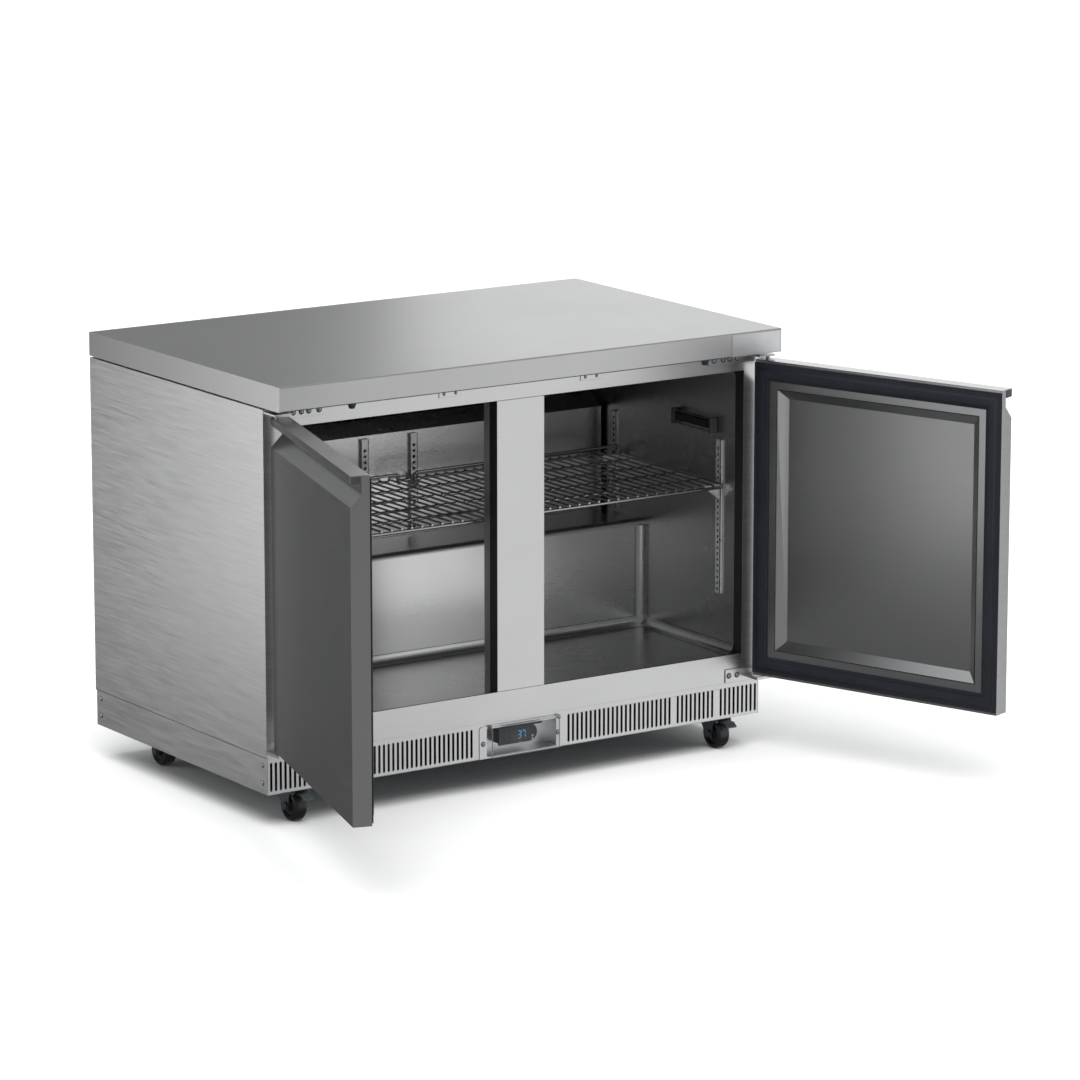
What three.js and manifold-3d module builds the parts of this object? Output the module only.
// Under counter fridge: a two-door stainless counter on castors, in millimetres.
// X runs to the right, Y runs to the back and Z runs up.
// Everything is drawn with X = 0 on the middle of the cabinet, Y = 0 on the worktop's front
// edge and Z = 0 on the floor. The last step moves the origin under the middle of the whole box.
import * as THREE from 'three';
import { mergeVertices, toCreasedNormals } from 'three/addons/utils/BufferGeometryUtils.js';
import Module from 'manifold-3d';

const wasm = await Module();
wasm.setup();

// ---------------------------------------------------------------- driving dimensions
const GAP = 0.3;                 // clearance between pieces that touch
const SHEET = 1.2;               // cabinet and door sheet
const OVERLAP = 1;               // how far two joined solids run into each other

const WIDTH = 1225.6;
const DEPTH = 770;
const HEIGHT = 915;
const HALF = WIDTH / 2;

const WORKTOP_THICKNESS = 50.5;
const WORKTOP_SHADOW = 3.6;      // gap between the worktop's edge and the cabinet
const WORKTOP_RADIUS = 3;
const WORKTOP_BOTTOM = HEIGHT - WORKTOP_THICKNESS;
const CABINET_TOP = WORKTOP_BOTTOM - WORKTOP_SHADOW;

const FACE_Y = 64.7;             // front face of the cabinet
const FACE_BACK = FACE_Y + SHEET;
const REAR_Y = 768.9;
const CABINET_BOTTOM = 147.9;
const RAIL_FLANGE_Y = 90;        // back edge of the rails' flanges and of the breakers

const STILE_WIDTH = 49;
const STILE_X = HALF - STILE_WIDTH;
const MULLION_HALF = 57.7;
const MULLION_BACK = 114;
const OPENING_BOTTOM = 209;
const OPENING_TOP = 820;

const LINER_HALF = 560;
const LINER_FLOOR = 203;
const LINER_CEILING = 823;
const LINER_REAR = 716;
const LINER_STEP_Y = 428;        // lower rear wall, in front of the machine bay
const LINER_STEP_Z = 438;
const LINER_SHEET = 1.5;
const LINER_COVE = 20;
const LINER_NOSE = 14;

const BREAKER_CHANNEL = 3.2;     // how far the breaker is let into the mullion
const BREAKER_OUTSET = 6;        // how far the breaker reaches past the liner
const BREAKER_LIP = 2.3;         // how far it stands proud of the mullion's side

const BAY_FRONT = 478;           // machine bay behind and below the liner's step
const BAY_CEILING = 388;

const BASE_INSET = 2.5;
const BASE_FRONT = FACE_Y + BASE_INSET;
const BASE_BOTTOM = 70.6;
const BASE_TOP = CABINET_BOTTOM - GAP;
const BASE_HALF = HALF - BASE_INSET;
const BASE_FLANGE = 25;
const PAN_BOTTOM = BASE_BOTTOM + SHEET + GAP;
const PAN_THICKNESS = 1.6;
const PAN_TOP = PAN_BOTTOM + PAN_THICKNESS;

// ---------------------------------------------------------------- solid helpers
function solid(geometry) {
  geometry.deleteAttribute('normal');
  geometry.deleteAttribute('uv');
  const merged = mergeVertices(geometry, 1e-4);
  const mesh = new wasm.Mesh({
    numProp: 3,
    vertProperties: merged.attributes.position.array,
    triVerts: new Uint32Array(merged.index.array),
  });
  return new wasm.Manifold(mesh);
}

const join = (...bodies) => bodies.flat().reduce((all, body) => all.add(body));
const cut = (body, ...holes) => holes.flat().reduce((rest, hole) => rest.subtract(hole), body);

function geometryOf(body) {
  const mesh = body.getMesh();
  const geometry = new THREE.BufferGeometry();
  geometry.setAttribute('position', new THREE.BufferAttribute(mesh.vertProperties, 3));
  geometry.setIndex(new THREE.BufferAttribute(mesh.triVerts, 1));
  return geometry;
}

function block(x0, x1, y0, y1, z0, z1) {
  const geometry = new THREE.BoxGeometry(Math.abs(x1 - x0), Math.abs(y1 - y0), Math.abs(z1 - z0));
  geometry.translate((x0 + x1) / 2, (y0 + y1) / 2, (z0 + z1) / 2);
  return solid(geometry);
}

const outline = (points) => new THREE.Shape(points.map(([u, v]) => new THREE.Vector2(u, v)));

// Extrusions of an outline: prismX takes (y, z) points, prismY (z, x) and prismZ (x, y).
const TO_X = new THREE.Matrix4().set(0, 0, 1, 0, 1, 0, 0, 0, 0, 1, 0, 0, 0, 0, 0, 1);
const TO_Y = new THREE.Matrix4().set(0, 1, 0, 0, 0, 0, 1, 0, 1, 0, 0, 0, 0, 0, 0, 1);
const TO_Z = new THREE.Matrix4();

function prism(turn, shape, from, to, options = {}) {
  const depth = Math.abs(to - from);
  const settings = { depth, bevelEnabled: false, curveSegments: 4, ...options };
  const geometry = new THREE.ExtrudeGeometry(shape, settings);
  geometry.translate(0, 0, Math.min(from, to));
  geometry.applyMatrix4(turn);
  return solid(geometry);
}

const prismX = (points, x0, x1) => prism(TO_X, outline(points), x0, x1);
const prismY = (points, y0, y1) => prism(TO_Y, outline(points), y0, y1);
const prismZ = (points, z0, z1) => prism(TO_Z, outline(points), z0, z1);

// A round bar along 'x', 'y' or 'z'. The centre gives the two other coordinates in order.
function bar(axis, radius, centre, from, to, sides = 16) {
  const geometry = new THREE.CylinderGeometry(radius, radius, Math.abs(to - from), sides);
  const middle = (from + to) / 2;
  if (axis === 'x') {
    geometry.rotateZ(Math.PI / 2);
    geometry.translate(middle, centre[0], centre[1]);
  } else if (axis === 'y') {
    geometry.translate(centre[0], middle, centre[1]);
  } else {
    geometry.rotateX(Math.PI / 2);
    geometry.translate(centre[0], centre[1], middle);
  }
  return solid(geometry);
}

// A turned solid standing on Z; points are (radius, height) and start and end on the axis.
function turned(points, sides = 24) {
  const geometry = new THREE.LatheGeometry(points.map(([r, h]) => new THREE.Vector2(r, h)), sides);
  geometry.rotateX(Math.PI / 2);
  return solid(geometry);
}

// A wedge-sided block between a rectangle at yFront and another at yBack ([x0, x1, z0, z1]).
function taperY(front, yFront, back, yBack) {
  const corners = ([x0, x1, z0, z1], y) => [x0, y, z0, x1, y, z0, x1, y, z1, x0, y, z1];
  const geometry = new THREE.BufferGeometry();
  const points = new Float32Array([...corners(front, yFront), ...corners(back, yBack)]);
  geometry.setAttribute('position', new THREE.BufferAttribute(points, 3));
  geometry.setIndex([
    0, 1, 2, 0, 2, 3, 4, 6, 5, 4, 7, 6, 0, 4, 5, 0, 5, 1,
    1, 5, 6, 1, 6, 2, 2, 6, 7, 2, 7, 3, 3, 7, 4, 3, 4, 0,
  ]);
  return solid(geometry);
}

const moved = (body, x, y, z) => solid(geometryOf(body).translate(x, y, z));

// The nodes, each with its own material.
const fridge = new THREE.Group();
fridge.name = 'under_counter_fridge';

function node(name, body, [color, metalness, roughness, opacity = 1]) {
  const material = new THREE.MeshStandardMaterial({ color, metalness, roughness });
  material.name = `${name}_material`;
  material.opacity = opacity;
  material.transparent = opacity < 1;
  const geometry = body.isBufferGeometry ? body : geometryOf(body);
  const mesh = new THREE.Mesh(toCreasedNormals(geometry, Math.PI / 5), material);
  mesh.name = name;
  fridge.add(mesh);
}

const STEEL = [0xb9bcbf, 0.9, 0.35];
const DARK_STEEL = [0x8d9093, 0.9, 0.4];
const ZINC = [0x9aa4ad, 0.8, 0.4];
const ALUMINIUM = [0xc4c7c9, 0.9, 0.5];
const BLACK_PLASTIC = [0x17181a, 0, 0.5];
const GASKET_RUBBER = [0x22262b, 0, 0.7];
const WHEEL_RUBBER = [0x121213, 0, 0.6];
const PAINTED_BLACK = [0x1b1c1e, 0.2, 0.5];
const FOAM = [0xd8cfa8, 0, 0.9];
const CLEAR = [0xdfe6ea, 0, 0.1, 0.3];

const SIDES = { left: -1, right: 1 };

// ---------------------------------------------------------------- worktop
function worktop() {
  const r = WORKTOP_RADIUS;
  const shape = new THREE.Shape();
  shape.moveTo(r, WORKTOP_BOTTOM);
  shape.lineTo(DEPTH, WORKTOP_BOTTOM);
  shape.lineTo(DEPTH, HEIGHT - r);
  shape.absarc(DEPTH - r, HEIGHT - r, r, 0, Math.PI / 2);
  shape.absarc(r, HEIGHT - r, r, Math.PI / 2, Math.PI);
  shape.absarc(r, WORKTOP_BOTTOM + r, r, Math.PI, Math.PI * 1.5);
  const slab = prism(TO_X, shape, -HALF, HALF);
  const packerInset = 20;
  const packer = block(-HALF + packerInset, HALF - packerInset, FACE_Y + packerInset,
    REAR_Y - packerInset, CABINET_TOP + GAP, WORKTOP_BOTTOM + OVERLAP);
  return slab.add(packer);
}
node('worktop', worktop(), STEEL);

// ---------------------------------------------------------------- outer shell
function sidePanel(side) {
  const skin = HALF - SHEET;
  const points = [
    [STILE_X, FACE_Y], [HALF, FACE_Y], [HALF, REAR_Y], [skin, REAR_Y], [skin, FACE_BACK],
    [STILE_X, FACE_BACK],
  ];
  return prismZ(points.map(([x, y]) => [side * x, y]), CABINET_BOTTOM, CABINET_TOP);
}
for (const [name, side] of Object.entries(SIDES)) {
  node(`side_panel_${name}`, sidePanel(side), STEEL);
}

const RAIL_HALF = STILE_X - GAP;
const SHELL_HALF = HALF - SHEET - GAP;

node('top_rail', prismX([
  [FACE_Y, OPENING_TOP], [FACE_BACK, OPENING_TOP], [FACE_BACK, CABINET_TOP - SHEET],
  [RAIL_FLANGE_Y, CABINET_TOP - SHEET], [RAIL_FLANGE_Y, CABINET_TOP], [FACE_Y, CABINET_TOP],
], -RAIL_HALF, RAIL_HALF), STEEL);

node('bottom_rail', prismX([
  [FACE_Y, CABINET_BOTTOM], [RAIL_FLANGE_Y, CABINET_BOTTOM],
  [RAIL_FLANGE_Y, CABINET_BOTTOM + SHEET], [FACE_BACK, CABINET_BOTTOM + SHEET],
  [FACE_BACK, OPENING_BOTTOM], [FACE_Y, OPENING_BOTTOM],
], -RAIL_HALF, RAIL_HALF), STEEL);

node('rear_shell', prismX([
  [RAIL_FLANGE_Y + GAP, CABINET_TOP - SHEET], [REAR_Y - SHEET, CABINET_TOP - SHEET],
  [REAR_Y - SHEET, BAY_CEILING + SHEET + GAP], [REAR_Y, BAY_CEILING + SHEET + GAP],
  [REAR_Y, CABINET_TOP], [RAIL_FLANGE_Y + GAP, CABINET_TOP],
], -SHELL_HALF, SHELL_HALF), STEEL);

node('machine_bay_wall', prismX([
  [RAIL_FLANGE_Y + GAP, CABINET_BOTTOM], [BAY_FRONT, CABINET_BOTTOM], [BAY_FRONT, BAY_CEILING],
  [REAR_Y, BAY_CEILING], [REAR_Y, BAY_CEILING + SHEET],
  [BAY_FRONT - SHEET, BAY_CEILING + SHEET], [BAY_FRONT - SHEET, CABINET_BOTTOM + SHEET],
  [RAIL_FLANGE_Y + GAP, CABINET_BOTTOM + SHEET],
], -SHELL_HALF, SHELL_HALF), DARK_STEEL);

function mullion() {
  const web = MULLION_HALF - BREAKER_CHANNEL - GAP;
  const webBack = RAIL_FLANGE_Y + GAP;
  const z0 = OPENING_BOTTOM + GAP;
  const z1 = OPENING_TOP - GAP;
  return join(
    block(-MULLION_HALF, MULLION_HALF, FACE_Y, FACE_BACK, z0, z1),
    block(-web, web, FACE_BACK - SHEET / 2, webBack + OVERLAP, z0, z1),
    block(-MULLION_HALF, MULLION_HALF, webBack, MULLION_BACK, LINER_FLOOR + GAP,
      LINER_CEILING - GAP),
  );
}
node('mullion', mullion(), STEEL);

// ---------------------------------------------------------------- breakers round the openings
const BREAKER_FRONT = FACE_BACK + GAP;
const BREAKER_INNER = MULLION_HALF - BREAKER_CHANNEL;
const BREAKER_OUTER = LINER_HALF + BREAKER_OUTSET;
const BREAKER_BOTTOM = LINER_FLOOR - LINER_SHEET * 2;
const BREAKER_TOP = LINER_CEILING + LINER_SHEET * 2;

function breaker(side) {
  const mirrored = ([x0, x1, z0, z1]) => [Math.min(side * x0, side * x1),
    Math.max(side * x0, side * x1), z0, z1];
  const atFace = [MULLION_HALF, STILE_X, OPENING_BOTTOM, OPENING_TOP];
  const atLiner = [MULLION_HALF + BREAKER_LIP, LINER_HALF, LINER_FLOOR, LINER_CEILING];
  const ring = block(side * BREAKER_INNER, side * BREAKER_OUTER, BREAKER_FRONT, RAIL_FLANGE_Y,
    BREAKER_BOTTOM, BREAKER_TOP);
  return cut(ring, taperY(mirrored(atFace), BREAKER_FRONT, mirrored(atLiner), RAIL_FLANGE_Y));
}
for (const [name, side] of Object.entries(SIDES)) {
  node(`breaker_${name}`, breaker(side), BLACK_PLASTIC);
}

// ---------------------------------------------------------------- liner and insulation
const LINER_FRONT = RAIL_FLANGE_Y + GAP;

// A rectangle with rounded corners, for prisms.
function roundedRect(u0, u1, v0, v1, r) {
  const quarter = Math.PI / 2;
  const shape = new THREE.Shape();
  shape.absarc(u1 - r, v0 + r, r, -quarter, 0);
  shape.absarc(u1 - r, v1 - r, r, 0, quarter);
  shape.absarc(u0 + r, v1 - r, r, quarter, Math.PI);
  shape.absarc(u0 + r, v0 + r, r, Math.PI, Math.PI * 1.5);
  return shape;
}

// The liner's stepped space, made bigger on every side by 'grow', with coved corners.
function linerSpace(grow, front) {
  const cove = LINER_COVE + grow;
  const nose = LINER_NOSE - grow;
  const floor = LINER_FLOOR - grow;
  const ceiling = LINER_CEILING + grow;
  const rear = LINER_REAR + grow;
  const stepY = LINER_STEP_Y + grow;
  const stepZ = LINER_STEP_Z - grow;
  const half = LINER_HALF + grow;
  const quarter = Math.PI / 2;
  const section = new THREE.Shape();
  section.moveTo(front, floor);
  section.lineTo(stepY - cove, floor);
  section.absarc(stepY - cove, floor + cove, cove, -quarter, 0);
  section.absarc(stepY + nose, stepZ - nose, nose, Math.PI, quarter, true);
  section.absarc(rear - cove, stepZ + cove, cove, -quarter, 0);
  section.absarc(rear - cove, ceiling - cove, cove, 0, quarter);
  section.lineTo(front, ceiling);
  const lower = prism(TO_Z, roundedRect(-half, half, front, stepY, cove), floor, ceiling);
  const upper = prism(TO_Z, roundedRect(-half, half, front, rear, cove), stepZ - nose, ceiling);
  return prism(TO_X, section, -half, half)
    .intersect(prism(TO_Y, roundedRect(floor, ceiling, -half, half, cove), front, rear))
    .intersect(lower.add(upper));
}

const IN_FRONT = -60;            // start of the liner's space, ahead of the coves' own rounding
const behind = (y) => block(-HALF, HALF, y, DEPTH, 0, HEIGHT);

node('liner', cut(linerSpace(LINER_SHEET, IN_FRONT).intersect(behind(LINER_FRONT)),
  linerSpace(0, IN_FRONT)), DARK_STEEL);

function insulation() {
  const bottom = CABINET_BOTTOM + SHEET + GAP;
  const bayTop = BAY_CEILING + SHEET + GAP;
  const bayFront = BAY_FRONT - SHEET - GAP;
  const rear = REAR_Y - SHEET - GAP;
  const top = CABINET_TOP - SHEET - GAP;
  const front = FACE_BACK + GAP;
  const packed = prismX([
    [front, bottom], [bayFront, bottom], [bayFront, bayTop], [rear, bayTop], [rear, top],
    [front, top],
  ], -SHELL_HALF, SHELL_HALF);
  const breakerRoom = block(-BREAKER_OUTER - GAP, BREAKER_OUTER + GAP, 0, RAIL_FLANGE_Y + GAP,
    BREAKER_BOTTOM - GAP, BREAKER_TOP + GAP);
  return cut(packed, linerSpace(LINER_SHEET + GAP, IN_FRONT), breakerRoom);
}
node('insulation', insulation(), FOAM);

// ---------------------------------------------------------------- base
const SKIRT_INNER = BASE_HALF - SHEET;

function baseSkirt(side) {
  const points = [
    [BASE_BOTTOM, BASE_HALF - BASE_FLANGE], [BASE_BOTTOM, BASE_HALF], [BASE_TOP, BASE_HALF],
    [BASE_TOP, SKIRT_INNER], [BASE_BOTTOM + SHEET, SKIRT_INNER],
    [BASE_BOTTOM + SHEET, BASE_HALF - BASE_FLANGE],
  ];
  const grilleRoom = block(side * (BASE_HALF - BASE_FLANGE - OVERLAP), side * SKIRT_INNER,
    BASE_FRONT - OVERLAP, BASE_FRONT + SHEET + GAP, BASE_BOTTOM - OVERLAP, BASE_TOP + OVERLAP);
  return cut(prismY(points.map(([z, x]) => [z, side * x]), BASE_FRONT, REAR_Y), grilleRoom);
}
for (const [name, side] of Object.entries(SIDES)) {
  node(`base_skirt_${name}`, baseSkirt(side), STEEL);
}

const SLOT_PITCH = 11.2;
const SLOT_WIDTH = 5.6;
const SLOT_BOTTOM = 77.3;
const SLOT_TOP = 137.1;
const SLOT_GROUPS = [             // first slot's centre and how many follow, away from the middle
  { start: 120.8, count: 24 },
  { start: 399.8, count: 9 },
  { start: 511.8, count: 9 },
];

const CONTROL_WALL = 1.5;
const CONTROL = {
  left: -84, right: 88, bottom: PAN_TOP + GAP + CONTROL_WALL, top: 134.5, depth: 41,
  plateHalf: 102, plateTop: 140, plateCorner: 8, wall: CONTROL_WALL, clearance: 2,
};

function slotHole(x) {
  const r = SLOT_WIDTH / 2;
  const hole = new THREE.Path();
  hole.absarc(x, SLOT_TOP - r, r, 0, Math.PI);
  hole.absarc(x, SLOT_BOTTOM + r, r, Math.PI, Math.PI * 2);
  return hole;
}

// A sheet standing in the X-Z plane: the shape is drawn in (x, z) and turned upright.
function uprightSheet(shape, yFront, yBack, curveSegments = 1) {
  const geometry = new THREE.ExtrudeGeometry(shape, {
    depth: yBack - yFront, bevelEnabled: false, curveSegments,
  });
  geometry.rotateX(Math.PI / 2);
  geometry.translate(0, yBack, 0);
  return solid(geometry);
}

function frontGrille() {
  const half = SKIRT_INNER - GAP;
  const slots = [];
  for (const { start, count } of SLOT_GROUPS) {
    for (let i = 0; i < count; i += 1) {
      slots.push(start + i * SLOT_PITCH, -start - i * SLOT_PITCH);
    }
  }
  const shape = outline([[-half, BASE_BOTTOM], [half, BASE_BOTTOM], [half, BASE_TOP],
    [-half, BASE_TOP]]);
  shape.holes = slots.map(slotHole);
  const sheet = uprightSheet(shape, BASE_FRONT, BASE_FRONT + SHEET);
  const flangeHalf = BASE_HALF - BASE_FLANGE - GAP;
  const flange = block(-flangeHalf, flangeHalf, BASE_FRONT, BASE_FRONT + BASE_FLANGE,
    BASE_BOTTOM, BASE_BOTTOM + SHEET);
  const margin = CONTROL.wall + CONTROL.clearance;
  const controlHole = block(CONTROL.left - margin, CONTROL.right + margin, 0, BASE_FRONT + SHEET,
    CONTROL.bottom - margin, CONTROL.top + margin);
  return cut(sheet, controlHole).add(flange);
}
node('front_grille', frontGrille(), STEEL);

const CASTOR_X = 527;
const SWIVEL_Y = { front: 134, rear: 662 };
const CASTOR_PLATE = 38;         // half width of the square plate
const CASTOR_PLATE_BOTTOM = 69.6;
const STEM_RADIUS = 6;
const STEM_CLEARANCE = 0.4;

function basePan() {
  const half = SKIRT_INNER - GAP;
  const front = BASE_FRONT + SHEET + GAP;
  const parts = [block(-half, half, front, REAR_Y - SHEET - GAP, PAN_BOTTOM, PAN_TOP)];
  const holes = [];
  for (const side of Object.values(SIDES)) {
    for (const y of Object.values(SWIVEL_Y)) {
      const x = side * CASTOR_X;
      parts.push(block(x - CASTOR_PLATE, x + CASTOR_PLATE, y - CASTOR_PLATE, y + CASTOR_PLATE,
        CASTOR_PLATE_BOTTOM, PAN_TOP));
      holes.push(bar('z', STEM_RADIUS + STEM_CLEARANCE, [x, y], CASTOR_PLATE_BOTTOM - OVERLAP,
        PAN_TOP + OVERLAP));
    }
  }
  return cut(join(parts), holes);
}
node('base_pan', basePan(), ZINC);

const LOUVRE = {
  columns: [-400, 0, 400], slotHalf: 150, slotHeight: 9, rows: 9, pitch: 26, firstRow: 130,
};
const GLAND = { x: -545, z: 104, radius: 9, bore: 6, nut: 13, nutDepth: 12, reach: 20 };

function rearLouvreCover() {
  const half = SKIRT_INNER - GAP;
  const cutFront = REAR_Y - SHEET - OVERLAP;
  const cutBack = REAR_Y + OVERLAP;
  const sheet = block(-half, half, REAR_Y - SHEET, REAR_Y, PAN_BOTTOM, BAY_CEILING - GAP);
  const holes = [bar('y', GLAND.radius + GAP, [GLAND.x, GLAND.z], cutFront, cutBack)];
  for (const x of LOUVRE.columns) {
    for (let row = 0; row < LOUVRE.rows; row += 1) {
      const z = LOUVRE.firstRow + row * LOUVRE.pitch;
      holes.push(block(x - LOUVRE.slotHalf, x + LOUVRE.slotHalf, cutFront, cutBack, z,
        z + LOUVRE.slotHeight));
    }
  }
  return cut(sheet, holes);
}
node('rear_louvre_cover', rearLouvreCover(), STEEL);

function cableGland() {
  const centre = [GLAND.x, GLAND.z];
  const front = REAR_Y - GLAND.reach;
  const barrel = bar('y', GLAND.radius, centre, front, DEPTH - GAP);
  const nut = bar('y', GLAND.nut, centre, REAR_Y - GLAND.nutDepth, REAR_Y - SHEET - GAP, 6);
  const bore = bar('y', GLAND.bore, centre, front - OVERLAP, DEPTH + OVERLAP);
  return cut(barrel.add(nut), bore);
}
node('cable_gland', cableGland(), BLACK_PLASTIC);

// ---------------------------------------------------------------- controls in the base
const PLATE_BACK = BASE_FRONT - GAP;
const PLATE_FRONT = PLATE_BACK - SHEET;
const COVER = {
  left: -73, right: 90, bottom: 72, thickness: 2, barrel: 2.2, pin: 1.2, pinReach: 3,
  axisY: 60.8, axisZ: 137,
};
const POST = { width: 4.5, height: 8, bore: COVER.pin + GAP };

function controlBox() {
  const { left, right, bottom, top, wall, plateHalf, plateTop, plateCorner } = CONTROL;
  const plate = new THREE.Shape();
  plate.moveTo(-plateHalf, BASE_BOTTOM + GAP);
  plate.lineTo(plateHalf, BASE_BOTTOM + GAP);
  plate.absarc(plateHalf - plateCorner, plateTop - plateCorner, plateCorner, 0, Math.PI / 2);
  plate.absarc(-plateHalf + plateCorner, plateTop - plateCorner, plateCorner, Math.PI / 2, Math.PI);
  const face = uprightSheet(plate, PLATE_FRONT, PLATE_BACK, 5);
  const back = PLATE_FRONT + CONTROL.depth;
  const tray = block(left - wall, right + wall, PLATE_FRONT, back, bottom - wall, top + wall);
  const space = block(left, right, 0, back - wall, bottom, top);
  const postBack = PLATE_FRONT + SHEET / 2;
  const posts = [COVER.left - GAP - POST.width, COVER.right + GAP].map((x) => join(
    block(x, x + POST.width, COVER.axisY, postBack, COVER.axisZ - POST.height / 2,
      COVER.axisZ + POST.height / 2),
    bar('x', POST.height / 2, [COVER.axisY, COVER.axisZ], x, x + POST.width),
  ));
  const boreReach = GAP + POST.width + OVERLAP;
  const bore = bar('x', POST.bore, [COVER.axisY, COVER.axisZ], COVER.left - boreReach,
    COVER.right + boreReach, 12);
  return cut(cut(join(face, tray), space).add(join(posts)), bore);
}
node('control_box', controlBox(), STEEL);

function controlCover() {
  const { left, right, bottom, thickness, barrel, pin, pinReach, axisY, axisZ } = COVER;
  return join(
    block(left, right, axisY - thickness / 2, axisY + thickness / 2, bottom, axisZ),
    bar('x', barrel, [axisY, axisZ], left, right, 12),
    bar('x', pin, [axisY, axisZ], left - pinReach, right + pinReach, 12),
  );
}
node('control_cover', controlCover(), CLEAR);

const CONTROLLER = {
  left: -46, right: 49, bottom: 90, top: 127, front: 78, bezel: 4, bezelRim: 3, pocketFloor: 1,
};
const BUTTONS = {
  button_up: { x: 37, z: 101 },
  button_down: { x: 37, z: 94.5 },
};
const BUTTON = { radius: 2.4, proud: 1.8, travel: 1.2 };
const TRAY_BACK = PLATE_FRONT + CONTROL.depth - CONTROL.wall;

function controller() {
  const { left, right, bottom, top, front, bezel, bezelRim, pocketFloor } = CONTROLLER;
  const half = (top - bottom) / 2;
  const middle = (top + bottom) / 2;
  const bezelShape = new THREE.Shape();
  bezelShape.moveTo(left, bottom);
  bezelShape.lineTo(right - half, bottom);
  bezelShape.absarc(right - half, middle, half, -Math.PI / 2, Math.PI / 2);
  bezelShape.lineTo(left, top);
  const bezelPlate = uprightSheet(bezelShape, front, front + bezel, 8);
  const body = block(left + bezelRim, right - half, front + bezel - OVERLAP, TRAY_BACK - GAP,
    bottom + bezelRim, top - bezelRim);
  const pockets = Object.values(BUTTONS).map(({ x, z }) => bar('y', BUTTON.radius + GAP, [x, z],
    front - OVERLAP, front + bezel - pocketFloor, 12));
  return cut(bezelPlate.add(body), pockets);
}
node('controller', controller(), BLACK_PLASTIC);

for (const [name, { x, z }] of Object.entries(BUTTONS)) {
  const front = CONTROLLER.front - BUTTON.proud;
  const pocketEnd = CONTROLLER.front + CONTROLLER.bezel - CONTROLLER.pocketFloor;
  const back = pocketEnd - BUTTON.travel - GAP;
  node(name, bar('y', BUTTON.radius, [x, z], front, back, 12), GASKET_RUBBER);
}

// ---------------------------------------------------------------- cooling system
const MACHINE_FLOOR = PAN_TOP + GAP;

const COMPRESSOR = { x: -290, y: 640, footX: 110, footY: 75, footSheet: 3 };

function compressor() {
  const { x, y, footX, footY, footSheet } = COMPRESSOR;
  const foot = block(-footX, footX, -footY, footY, 0, footSheet);
  const dome = turned([
    [0, 2], [72, 2], [78, 20], [80, 70], [82, 76], [80, 82], [78, 130], [66, 160], [40, 176],
    [0, 182],
  ]);
  const terminalBox = block(60, 100, -25, 25, 60, 120);
  return moved(join(foot, dome, terminalBox), x, y, MACHINE_FLOOR);
}
node('compressor', compressor(), PAINTED_BLACK);

const CONDENSER = { left: 60, right: 360, front: 500, back: 556, height: 250, fin: 9, frame: 6 };

function condenserCoil() {
  const { left, right, front, back, height, fin, frame } = CONDENSER;
  const body = block(left, right, front, back, MACHINE_FLOOR, MACHINE_FLOOR + height);
  const slots = [];
  for (let x = left + frame; x + fin < right - frame; x += fin * 2) {
    slots.push(block(x, x + fin, front - OVERLAP, back - frame, MACHINE_FLOOR + frame,
      MACHINE_FLOOR + height - frame));
  }
  return cut(body, slots);
}
node('condenser_coil', condenserCoil(), ALUMINIUM);

// A motor and its blade share an axis along Y; the blade's boss turns on the motor's shaft.
const SHAFT = { radius: 4, clearance: 0.4, reach: 14 };
const MOTOR_LEG_INSET = 8;
const BLADE = {
  hub: 14, boss: 6, depth: 18, behind: 2, sheet: 1.6, chord: 0.42, pitch: Math.PI / 7,
};

function fanMotor({ x, z, motorFront, motorBack, radius, legBottom, legWidth }) {
  return join(
    bar('y', radius, [x, z], motorFront, motorBack),
    bar('y', SHAFT.radius, [x, z], motorFront - SHAFT.reach, motorFront + OVERLAP, 12),
    block(x - legWidth / 2, x + legWidth / 2, motorFront + MOTOR_LEG_INSET,
      motorBack - MOTOR_LEG_INSET, legBottom, z),
  );
}

function fanBlade({ x, z, motorFront, bladeRadius, blades }) {
  const back = motorFront - BLADE.behind;
  const front = back - BLADE.depth;
  const middle = (front + back) / 2;
  const start = BLADE.hub / 2;
  const length = bladeRadius - start;
  const vanes = [];
  for (let i = 0; i < blades; i += 1) {
    const vane = new THREE.BoxGeometry(length, BLADE.sheet, bladeRadius * BLADE.chord);
    vane.rotateX(BLADE.pitch);
    vane.translate(start + length / 2, 0, 0);
    vane.rotateY((i * 2 * Math.PI) / blades);
    vane.translate(x, middle, z);
    vanes.push(solid(vane));
  }
  const hub = bar('y', BLADE.hub, [x, z], front - BLADE.boss, back);
  const bore = bar('y', SHAFT.radius + SHAFT.clearance, [x, z], front, back + OVERLAP, 12);
  return cut(join(hub, vanes), bore);
}

const CONDENSER_FAN = {
  x: 210, z: 200, motorFront: 612, motorBack: 672, radius: 38, legBottom: MACHINE_FLOOR,
  legWidth: 30, bladeRadius: 110, blades: 5,
};
node('condenser_fan_motor', fanMotor(CONDENSER_FAN), PAINTED_BLACK);
node('condenser_fan_blade', fanBlade(CONDENSER_FAN), ALUMINIUM);

const EVAP_COVER = { half: 551, face: 576, bend: 664, lipY: 616, lipZ: 689, sheet: 1.5 };
const EVAP_FLOOR = LINER_STEP_Z + GAP;

function evaporatorCover() {
  const { half, face, bend, lipY, lipZ, sheet } = EVAP_COVER;
  return prismX([
    [face, EVAP_FLOOR], [face + sheet, EVAP_FLOOR], [face + sheet, bend - sheet / 2],
    [lipY + sheet, lipZ - sheet / 2], [lipY, lipZ + sheet / 2], [face, bend],
  ], -half, half);
}
node('evaporator_cover', evaporatorCover(), DARK_STEEL);

const DRIP = { half: 420, front: 584, back: 690, height: 14, wall: 1.5 };

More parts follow.
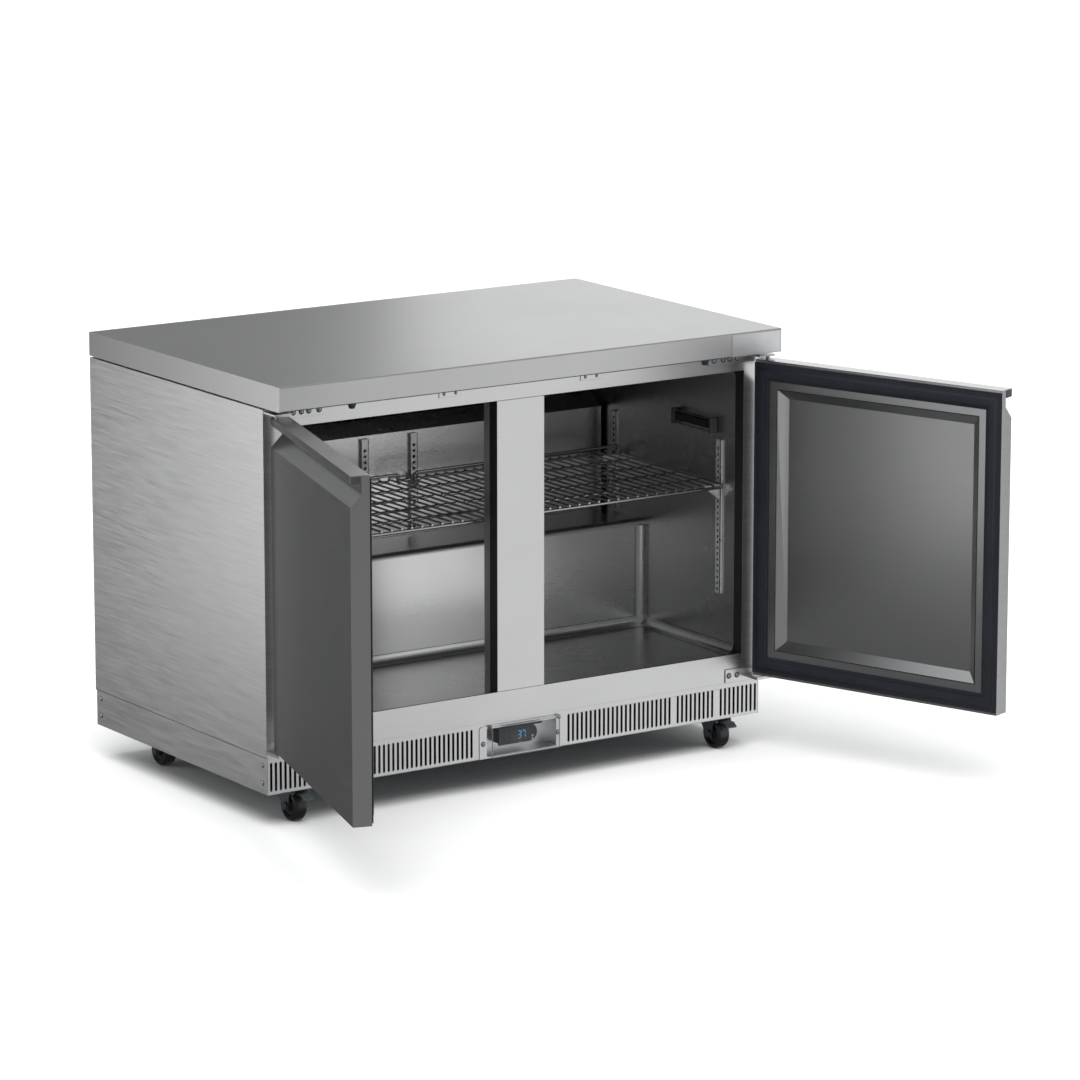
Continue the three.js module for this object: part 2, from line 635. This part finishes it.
function condensatePan() {
  const { half, front, back, height, wall } = DRIP;
  const outer = block(-half, half, front, back, EVAP_FLOOR, EVAP_FLOOR + height);
  const inner = block(-half + wall, half - wall, front + wall, back - wall, EVAP_FLOOR + wall,
    EVAP_FLOOR + height + OVERLAP);
  return cut(outer, inner);
}
node('condensate_pan', condensatePan(), BLACK_PLASTIC);

const EVAP_COIL = { half: 380, front: 594, back: 680, height: 180, fin: 20, frame: 8 };
const EVAP_COIL_BOTTOM = EVAP_FLOOR + DRIP.wall + GAP;

function evaporatorCoil() {
  const { half, front, back, height, fin, frame } = EVAP_COIL;
  const bottom = EVAP_COIL_BOTTOM;
  const body = block(-half, half, front, back, bottom, bottom + height);
  const slots = [];
  for (let x = -half + frame; x + fin < half - frame; x += fin * 1.5) {
    slots.push(block(x, x + fin, front - OVERLAP, back - frame, bottom + frame,
      bottom + height - frame));
  }
  return cut(body, slots);
}
node('evaporator_coil', evaporatorCoil(), ALUMINIUM);

const EVAP_FAN = {
  x: 0, z: 745, motorFront: 660, motorBack: 700, radius: 30,
  legBottom: EVAP_COIL_BOTTOM + EVAP_COIL.height + GAP, legWidth: 24, bladeRadius: 62, blades: 5,
};
node('evaporator_fan_motor', fanMotor(EVAP_FAN), PAINTED_BLACK);
node('evaporator_fan_blade', fanBlade(EVAP_FAN), BLACK_PLASTIC);

// ---------------------------------------------------------------- shelves and their pilasters
const SHELF = {
  inner: 8, outer: 552, front: 118, rear: 558, z: 562, frameRod: 6.4, crossRod: 5, wire: 3.6,
  weld: 0.4, crossRods: 4, wires: 11, guardY: 503, guardInner: 20, guardOuter: 549,
  guardHeight: 30,
};
const CLIP = { reach: 42, drop: 30, half: 5 };  // gusset under the shelf
const PILASTER = { width: 19, proud: 6, sheet: 1.5, top: 660 };
const PILASTER_ENDS = {
  front: { y: 142.5, bottom: 327 },
  rear: { y: 532.5, bottom: 446 },
};

function pilaster(side, { y, bottom }) {
  const wallX = LINER_HALF - GAP;
  const faceX = wallX - PILASTER.proud;
  const y0 = y - PILASTER.width / 2;
  const y1 = y + PILASTER.width / 2;
  const { sheet, top } = PILASTER;
  const channel = block(side * faceX, side * wallX, y0, y1, bottom, top);
  const hollow = block(side * (faceX + sheet), side * (wallX + OVERLAP), y0 + sheet, y1 - sheet,
    bottom - OVERLAP, top + OVERLAP);
  const clipTop = SHELF.z + SHELF.crossRod / 2 - SHELF.weld - GAP;
  const clip = prismY([
    [clipTop, side * (faceX + sheet / 2)], [clipTop - CLIP.drop, side * (faceX + sheet / 2)],
    [clipTop, side * (faceX - CLIP.reach)],
  ], y - CLIP.half, y + CLIP.half);
  return cut(channel, hollow).add(clip);
}
for (const [name, side] of Object.entries(SIDES)) {
  for (const [end, place] of Object.entries(PILASTER_ENDS)) {
    node(`pilaster_${name}_${end}`, pilaster(side, place), DARK_STEEL);
  }
}

function shelf(side) {
  const s = SHELF;
  const rods = [];
  const alongX = (y, z, size) => block(side * s.inner, side * s.outer, y - size / 2, y + size / 2,
    z - size / 2, z + size / 2);
  for (let i = 0; i < s.crossRods; i += 1) {
    const y = s.front + ((s.rear - s.front) * i) / (s.crossRods - 1);
    rods.push(alongX(y, s.z, i === 0 ? s.frameRod : s.crossRod));
  }
  const wireZ = s.z + (s.crossRod + s.wire) / 2 - s.weld;
  const pitch = (s.outer - s.inner - s.frameRod) / s.wires;
  for (let i = 0; i <= s.wires; i += 1) {
    const x = s.inner + s.frameRod / 2 + i * pitch;
    rods.push(block(side * (x - s.wire / 2), side * (x + s.wire / 2), s.front, s.rear,
      wireZ - s.wire / 2, wireZ + s.wire / 2));
  }
  const guardTop = s.z + s.guardHeight;
  const legHalf = s.wire / 2;
  for (const x of [s.guardInner, s.guardOuter - s.wire]) {
    rods.push(block(side * (x - legHalf), side * (x + legHalf), s.guardY - legHalf,
      s.guardY + legHalf, wireZ, guardTop));
  }
  rods.push(block(side * (s.guardInner - legHalf), side * (s.guardOuter - s.wire + legHalf),
    s.guardY - legHalf, s.guardY + legHalf, guardTop - s.wire, guardTop));
  return join(rods);
}
for (const [name, side] of Object.entries(SIDES)) {
  node(`shelf_${name}`, shelf(side), DARK_STEEL);
}

// ---------------------------------------------------------------- doors, drawn closed
const DOOR = {
  inner: 6.7, outer: 612.1, front: 18.8, thickness: 37.9, bottom: 168.2, top: 848.4,
};
const DOOR_BACK = DOOR.front + DOOR.thickness;
const HANDLE = { lip: 17.7, depth: 22.9, wallBottom: 812.8, slopeBottom: 787.7, radius: 6 };
const HINGE_X = 600;
const HINGE_Y = 30;
const PIN_RADIUS = 4;
const PIN_BORE = PIN_RADIUS + GAP;
const PIN_DEPTH = 12;            // how far the door's bore for each pin runs in
const OPEN_ANGLE = { left: 106.7, right: 109.5 };

// The door's section in (y, z), made smaller by 'inset', with its back edge at 'back'.
function doorSection(inset, back, withLip = true) {
  const front = DOOR.front + inset;
  const top = DOOR.top - inset;
  const wall = DOOR.front + HANDLE.depth + inset;
  const lipBottom = DOOR.top - HANDLE.lip + inset;
  const rise = HANDLE.wallBottom - HANDLE.slopeBottom;
  const drop = (inset * (Math.hypot(HANDLE.depth, rise) - rise)) / HANDLE.depth;
  const shape = new THREE.Shape();
  shape.moveTo(back, DOOR.bottom + inset);
  shape.lineTo(back, top);
  if (withLip) {
    const r = HANDLE.radius - inset;
    shape.lineTo(front, top);
    shape.lineTo(front, lipBottom + r);
    shape.absarc(front + r, lipBottom + r, r, Math.PI, Math.PI * 1.5);
    shape.lineTo(wall, lipBottom);
  } else {
    shape.lineTo(wall, top);
  }
  shape.lineTo(wall, HANDLE.wallBottom - drop);
  shape.lineTo(front, HANDLE.slopeBottom - drop);
  shape.lineTo(front, DOOR.bottom + inset);
  return shape;
}

const hingePin = (side, z0, z1, radius) => bar('z', radius, [side * HINGE_X, HINGE_Y], z0, z1);

function doorSkin(side) {
  const outer = prism(TO_X, doorSection(0, DOOR_BACK), side * DOOR.inner, side * DOOR.outer);
  const hollow = prism(TO_X, doorSection(SHEET, DOOR_BACK + OVERLAP),
    side * (DOOR.inner + SHEET), side * (DOOR.outer - SHEET));
  const bores = [
    hingePin(side, DOOR.bottom - OVERLAP, DOOR.bottom + PIN_DEPTH, PIN_BORE),
    hingePin(side, DOOR.top - PIN_DEPTH, DOOR.top + OVERLAP, PIN_BORE),
  ];
  return cut(outer, hollow, bores);
}

const DISH = { margin: 53, endMargin: 58, slope: 22, depth: 16 };
const PANEL_INSET = SHEET + GAP;

// The dish sunk into the door's inner face, 'grow' bigger than its visible surface.
function dish(side, grow) {
  const rect = (shrink) => {
    const x0 = side * (DOOR.inner + DISH.margin + shrink - grow);
    const x1 = side * (DOOR.outer - DISH.margin - shrink + grow);
    return [Math.min(x0, x1), Math.max(x0, x1), DOOR.bottom + DISH.endMargin + shrink - grow,
      DOOR.top - DISH.endMargin - shrink + grow];
  };
  const bottomY = DOOR_BACK - DISH.depth - grow;
  const flare = (OVERLAP * DISH.slope) / DISH.depth;
  return taperY(rect(DISH.slope), bottomY, rect(-flare), DOOR_BACK + OVERLAP);
}

function doorInnerPanel(side) {
  const sheetFront = DOOR_BACK - SHEET;
  const sheet = block(side * (DOOR.inner + PANEL_INSET), side * (DOOR.outer - PANEL_INSET),
    sheetFront, DOOR_BACK, DOOR.bottom + PANEL_INSET, DOOR.top - PANEL_INSET);
  const bowl = dish(side, SHEET).intersect(block(-HALF, HALF, 0, DOOR_BACK, 0, HEIGHT));
  return cut(sheet.add(bowl), dish(side, 0));
}

function doorFoam(side) {
  const back = DOOR_BACK - SHEET - GAP;
  const x0 = side * (DOOR.inner + PANEL_INSET);
  const x1 = side * (DOOR.outer - PANEL_INSET);
  const core = prism(TO_X, doorSection(PANEL_INSET, back, false), x0, x1);
  const pinRoom = hingePin(side, DOOR.bottom, DOOR.bottom + PIN_DEPTH + OVERLAP, PIN_BORE + SHEET);
  return cut(core, dish(side, SHEET + GAP), pinRoom);
}

const GASKET = { side: 6, end: 12.5, width: 30, base: 3, lipInset: 5, standOff: 0.7 };
const GASKET_BACK = FACE_Y - GASKET.standOff;

function doorGasket(side) {
  const ring = (inset, width, y0, y1) => {
    const x0 = DOOR.inner + GASKET.side + inset;
    const x1 = DOOR.outer - GASKET.side - inset;
    const z0 = DOOR.bottom + GASKET.end + inset;
    const z1 = DOOR.top - GASKET.end - inset;
    return cut(block(side * x0, side * x1, y0, y1, z0, z1),
      block(side * (x0 + width), side * (x1 - width), y0 - OVERLAP, y1 + OVERLAP, z0 + width,
        z1 - width));
  };
  const start = DOOR_BACK + GAP;
  const lipStart = start + GASKET.base;
  return join(
    ring(0, GASKET.width, start, lipStart),
    ring(GASKET.lipInset, GASKET.width - 2 * GASKET.lipInset, lipStart - OVERLAP, GASKET_BACK),
  );
}

// Swing a closed door piece open about its hinge pins.
function opened(body, name) {
  const side = SIDES[name];
  const geometry = geometryOf(body);
  geometry.translate(-side * HINGE_X, -HINGE_Y, 0);
  geometry.rotateZ(side * THREE.MathUtils.degToRad(OPEN_ANGLE[name]));
  geometry.translate(side * HINGE_X, HINGE_Y, 0);
  return geometry;
}
for (const [name, side] of Object.entries(SIDES)) {
  node(`door_skin_${name}`, opened(doorSkin(side), name), STEEL);
  node(`door_foam_${name}`, opened(doorFoam(side), name), FOAM);
  node(`door_inner_panel_${name}`, opened(doorInnerPanel(side), name), DARK_STEEL);
  node(`door_gasket_${name}`, opened(doorGasket(side), name), GASKET_RUBBER);
}

// ---------------------------------------------------------------- hinge brackets with their pins
const BRACKET = {
  plateThickness: 2.2, plateInner: 470, plateOuter: 590, armInner: 572, armOuter: 612,
  armAhead: 10,                  // how far the arm runs past its pin
};

function hingeBracket(side, { plate, arm, pin }) {
  const plateBack = FACE_Y - GAP;
  const plateFront = plateBack - BRACKET.plateThickness;
  const inner = plate.inner ?? BRACKET.plateInner;
  return join(
    block(side * inner, side * BRACKET.plateOuter, plateFront, plateBack, plate.z0, plate.z1),
    block(side * BRACKET.armInner, side * BRACKET.armOuter, HINGE_Y - BRACKET.armAhead, plateBack,
      arm.z0, arm.z1),
    hingePin(side, pin.z0, pin.z1, PIN_RADIUS),
  );
}
const TOP_BRACKET = {
  plate: { z0: 838, z1: 859.5 },
  arm: { z0: DOOR.top + 5, z1: DOOR.top + 9 },
  pin: { z0: DOOR.top - PIN_DEPTH + OVERLAP, z1: DOOR.top + 8 },
};
const BOTTOM_BRACKET = {
  plate: { inner: 520, z0: 149, z1: 178 },
  arm: { z0: 157, z1: 163 },
  pin: { z0: 158, z1: DOOR.bottom + PIN_DEPTH - OVERLAP },
};
for (const [name, side] of Object.entries(SIDES)) {
  node(`hinge_bracket_top_${name}`, hingeBracket(side, TOP_BRACKET), ZINC);
  node(`hinge_bracket_bottom_${name}`, hingeBracket(side, BOTTOM_BRACKET), ZINC);
}

// ---------------------------------------------------------------- castors
const WHEEL = { radius: 31.75, half: 15, shoulder: 7, bore: 5.5, sides: 24 };
const AXLE_RADIUS = WHEEL.bore - 0.4;
const TRAIL = 30;                // the wheel's centre sits this far in front of the swivel
const FORK = {
  gap: 1.5, sheet: 2.6, crownBottom: 65, crownTop: 67.6, crownMargin: 4, race: 22, legHalf: 13,
  foot: 9,                       // how far the legs reach round the axle
  heelY: 12, heelZ: 52,          // the legs' back edge, behind the swivel
};
const NUT = { radius: 8.5, depth: 5 };
const STEM_ABOVE_PAN = 4;

const LEVER = {
  ahead: 22, axisZ: 62.5, barrel: 3, pip: 1.5, sheet: 2.4, reach: 26, toe: 10, toeDrop: 8,
  half: 12, earFront: 27,
};

function castorFork(x, y, braked) {
  const wheelY = y - TRAIL;
  const legInner = WHEEL.half + FORK.gap;
  const legOuter = legInner + FORK.sheet;
  const crown = join(
    bar('z', FORK.race + FORK.crownMargin, [x, y], FORK.crownBottom, FORK.crownTop, 16),
    block(x - legOuter, x + legOuter, wheelY - FORK.legHalf, y, FORK.crownBottom, FORK.crownTop),
  );
  const leg = (x0, x1) => prismX([
    [wheelY - FORK.legHalf, FORK.crownTop], [wheelY - FORK.foot, WHEEL.radius - FORK.foot],
    [wheelY + FORK.foot, WHEEL.radius - FORK.foot], [y, FORK.heelZ], [y + FORK.heelY, FORK.crownTop],
  ], x0, x1);
  const nut = (x0, x1) => bar('x', NUT.radius, [wheelY, WHEEL.radius], x0, x1, 6);
  const ear = (x0, x1) => block(x0, x1, wheelY - LEVER.earFront, wheelY - FORK.legHalf + OVERLAP,
    LEVER.axisZ - LEVER.barrel, FORK.crownTop);
  const ears = braked ? [ear(x + legInner, x + legOuter), ear(x - legOuter, x - legInner)] : [];
  const pipBore = bar('x', LEVER.pip + GAP, [wheelY - LEVER.ahead, LEVER.axisZ],
    x - legOuter - OVERLAP, x + legOuter + OVERLAP, 12);
  return cut(join(
    crown,
    ...ears,
    leg(x + legInner, x + legOuter),
    leg(x - legOuter, x - legInner),
    bar('z', FORK.race, [x, y], FORK.crownTop - OVERLAP, CASTOR_PLATE_BOTTOM - GAP, 16),
    bar('z', STEM_RADIUS, [x, y], FORK.crownTop - OVERLAP, PAN_TOP + STEM_ABOVE_PAN),
    bar('x', AXLE_RADIUS, [wheelY, WHEEL.radius], x - legOuter - OVERLAP, x + legOuter + OVERLAP),
    nut(x + legOuter - OVERLAP, x + legOuter + NUT.depth),
    nut(x - legOuter - NUT.depth, x - legOuter + OVERLAP),
  ), braked ? pipBore : []);
}

function castorWheel(x, y) {
  const { radius, half, shoulder, bore } = WHEEL;
  const points = [[bore, -half], [radius - shoulder, -half]];
  for (let i = 1; i <= 2; i += 1) {
    const turn = (i * Math.PI) / 4;
    const outward = radius - shoulder + shoulder * Math.sin(turn);
    points.push([outward, -half + shoulder * (1 - Math.cos(turn))]);
  }
  const mirrored = points.slice().reverse().map(([r, h]) => [r, -h]);
  const profile = [...points, ...mirrored, points[0]];
  const ring = profile.map(([r, h]) => new THREE.Vector2(r, h));
  const geometry = new THREE.LatheGeometry(ring, WHEEL.sides);
  geometry.rotateZ(Math.PI / 2);
  geometry.translate(x, y - TRAIL, radius);
  return solid(geometry);
}

// The brake lever turns about X on two pips held in the ears of the fork, ahead of the wheel.
function brakeLever(x, y) {
  const axisY = y - TRAIL - LEVER.ahead;
  const tipY = axisY - LEVER.reach;
  const toeY = tipY - LEVER.toe;
  const top = LEVER.axisZ + LEVER.sheet / 2;
  const bottom = LEVER.axisZ - LEVER.sheet / 2;
  const barrelHalf = WHEEL.half + FORK.gap - GAP;
  const pipHalf = barrelHalf + FORK.sheet;
  return join(
    bar('x', LEVER.barrel, [axisY, LEVER.axisZ], x - barrelHalf, x + barrelHalf, 12),
    bar('x', LEVER.pip, [axisY, LEVER.axisZ], x - pipHalf, x + pipHalf, 12),
    prismX([
      [axisY, bottom], [axisY, top], [tipY, top], [toeY, top - LEVER.toeDrop],
      [toeY, bottom - LEVER.toeDrop], [tipY, bottom],
    ], x - LEVER.half, x + LEVER.half),
  );
}

for (const [name, side] of Object.entries(SIDES)) {
  for (const [end, y] of Object.entries(SWIVEL_Y)) {
    node(`castor_fork_${name}_${end}`, castorFork(side * CASTOR_X, y, end === 'front'), ZINC);
    node(`castor_wheel_${name}_${end}`, castorWheel(side * CASTOR_X, y), WHEEL_RUBBER);
  }
  node(`brake_lever_${name}`, brakeLever(side * CASTOR_X, SWIVEL_Y.front), ZINC);
}

// ---------------------------------------------------------------- origin under the middle
const box = new THREE.Box3().setFromObject(fridge);
const middle = box.getCenter(new THREE.Vector3());
for (const mesh of fridge.children) {
  mesh.geometry.translate(-middle.x, -middle.y, -box.min.z);
}

export default fridge;
